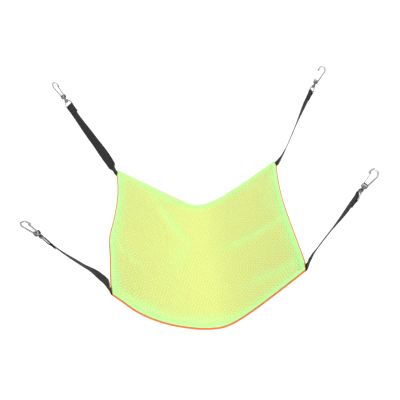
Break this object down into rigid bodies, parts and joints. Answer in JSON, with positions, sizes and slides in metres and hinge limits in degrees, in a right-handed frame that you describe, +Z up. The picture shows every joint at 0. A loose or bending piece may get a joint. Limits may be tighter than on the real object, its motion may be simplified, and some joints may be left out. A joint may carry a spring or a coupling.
{
  "type": "hanging mesh hammock",
  "caption": "Small pet hammock: a trough of layered mesh fabric hung by its corners from webbing straps, each ending in a swivel snap hook.",
  "frame": {"origin": "middle of the four points where the hooks bear on what they hang from", "axes": "+X along the wide side, to the right; +Y from the front to the back; +Z up"},
  "size_m": [0.5848, 0.4803, 0.345],
  "materials": {
    "mesh_green": "knitted polyester mesh, matt",
    "mesh_orange": "knitted polyester mesh, matt",
    "webbing": "woven polyester webbing",
    "thread_black": "sewing thread",
    "thread_green": "sewing thread",
    "steel": "nickel plated, bright",
    "leaf_steel": "spring steel, satin"
  },
  "bodies": {
    "panel": {"upper_mesh_panel": "mesh_green", "lower_mesh_panel": "mesh_orange", "hem_thread": "thread_green", "back_left_tab": "webbing", "back_left_corner_thread": "thread_green", "back_right_tab": "webbing", "back_right_corner_thread": "thread_green", "front_right_tab": "webbing", "front_right_corner_thread": "thread_green", "front_left_tab": "webbing", "front_left_corner_thread": "thread_green"},
    "back_left_strap": {"back_left_strap": "webbing", "back_left_fold_thread": "thread_black"},
    "back_left_ring": {"back_left_ring": "steel"},
    "back_left_hook": {"back_left_hook": "steel", "back_left_gate_rivet": "steel"},
    "back_left_gate": {"back_left_gate": "leaf_steel"},
    "back_right_strap": {"back_right_strap": "webbing", "back_right_fold_thread": "thread_black"},
    "back_right_ring": {"back_right_ring": "steel"},
    "back_right_hook": {"back_right_hook": "steel", "back_right_gate_rivet": "steel"},
    "back_right_gate": {"back_right_gate": "leaf_steel"},
    "front_right_strap": {"front_right_strap": "webbing", "front_right_fold_thread": "thread_black"},
    "front_right_ring": {"front_right_ring": "steel"},
    "front_right_hook": {"front_right_hook": "steel", "front_right_gate_rivet": "steel"},
    "front_right_gate": {"front_right_gate": "leaf_steel"},
    "front_left_strap": {"front_left_strap": "webbing", "front_left_fold_thread": "thread_black"},
    "front_left_ring": {"front_left_ring": "steel"},
    "front_left_hook": {"front_left_hook": "steel", "front_left_gate_rivet": "steel"},
    "front_left_gate": {"front_left_gate": "leaf_steel"}
  },
  "joints": [
    {"name": "back_left_flex", "type": "hinge", "parent": "panel", "child": "back_left_strap", "pos_m": [-0.17872, 0.19169, -0.20553], "axis": [0.1134, 0.9915, -0.0632], "range_deg": [-60, 15]},
    {"name": "back_left_tilt", "type": "hinge", "parent": "back_left_strap", "child": "back_left_ring", "pos_m": [-0.25879, 0.22235, -0.04609], "axis": [0.3887, 0.9212, 0.0181], "range_deg": [-100, 100]},
    {"name": "back_left_swivel", "type": "hinge", "parent": "back_left_ring", "child": "back_left_hook", "pos_m": [-0.26464, 0.22459, -0.03447], "axis": [-0.4431, 0.1697, 0.8803], "continuous": true},
    {"name": "back_left_gate_pivot", "type": "hinge", "parent": "back_left_hook", "child": "back_left_gate", "pos_m": [-0.26741, 0.22554, -0.02355], "axis": [-0.3887, -0.9212, -0.0181], "range_deg": [0, 18], "stiffness_Nm_per_rad": 0.15, "springref_deg": -11.46},
    {"name": "back_right_flex", "type": "hinge", "parent": "panel", "child": "back_right_strap", "pos_m": [0.18754, 0.1926, -0.21636], "axis": [0.1032, -0.9874, 0.1198], "range_deg": [-60, 30]},
    {"name": "back_right_tilt", "type": "hinge", "parent": "back_right_strap", "child": "back_right_ring", "pos_m": [0.26474, 0.21648, -0.05492], "axis": [0.0601, -0.9912, 0.1177], "range_deg": [-100, 100]},
    {"name": "back_right_swivel", "type": "hinge", "parent": "back_right_ring", "child": "back_right_hook", "pos_m": [0.27037, 0.21823, -0.0431], "axis": [0.4264, 0.1321, 0.8948], "continuous": true},
    {"name": "back_right_gate_pivot", "type": "hinge", "parent": "back_right_hook", "child": "back_right_gate", "pos_m": [0.2728, 0.22055, -0.03231], "axis": [0.2522, 0.9327, -0.2579], "range_deg": [0, 18], "stiffness_Nm_per_rad": 0.15, "springref_deg": -11.46},
    {"name": "front_right_flex", "type": "hinge", "parent": "panel", "child": "front_right_strap", "pos_m": [0.17843, -0.18255, -0.20519], "axis": [-0.2264, -0.9695, -0.0939], "range_deg": [-60, 10]},
    {"name": "front_right_tilt", "type": "hinge", "parent": "front_right_strap", "child": "front_right_ring", "pos_m": [0.24799, -0.20874, -0.04082], "axis": [-0.2649, -0.9634, -0.0411], "range_deg": [-100, 100]},
    {"name": "front_right_swivel", "type": "hinge", "parent": "front_right_ring", "child": "front_right_hook", "pos_m": [0.2531, -0.21065, -0.0288], "axis": [0.3868, -0.1453, 0.9107], "continuous": true},
    {"name": "front_right_gate_pivot", "type": "hinge", "parent": "front_right_hook", "child": "front_right_gate", "pos_m": [0.25571, -0.21049, -0.0178], "axis": [0.6711, 0.7217, -0.1699], "range_deg": [0, 18], "stiffness_Nm_per_rad": 0.15, "springref_deg": -11.46},
    {"name": "front_left_flex", "type": "hinge", "parent": "panel", "child": "front_left_strap", "pos_m": [-0.17881, -0.18644, -0.21763], "axis": [-0.2417, 0.9494, 0.2006], "range_deg": [-60, 5]},
    {"name": "front_left_tilt", "type": "hinge", "parent": "front_left_strap", "child": "front_left_ring", "pos_m": [-0.2571, -0.22941, -0.06132], "axis": [-0.5691, 0.82, -0.0613], "range_deg": [-100, 100]},
    {"name": "front_left_swivel", "type": "hinge", "parent": "front_left_ring", "child": "front_left_hook", "pos_m": [-0.26288, -0.23256, -0.04988], "axis": [-0.4376, -0.2389, 0.8669], "continuous": true},
    {"name": "front_left_gate_pivot", "type": "hinge", "parent": "front_left_hook", "child": "front_left_gate", "pos_m": [-0.26535, -0.23552, -0.03926], "axis": [-0.0116, -0.9625, -0.2711], "range_deg": [0, 18], "stiffness_Nm_per_rad": 0.15, "springref_deg": -11.46}
  ]
}
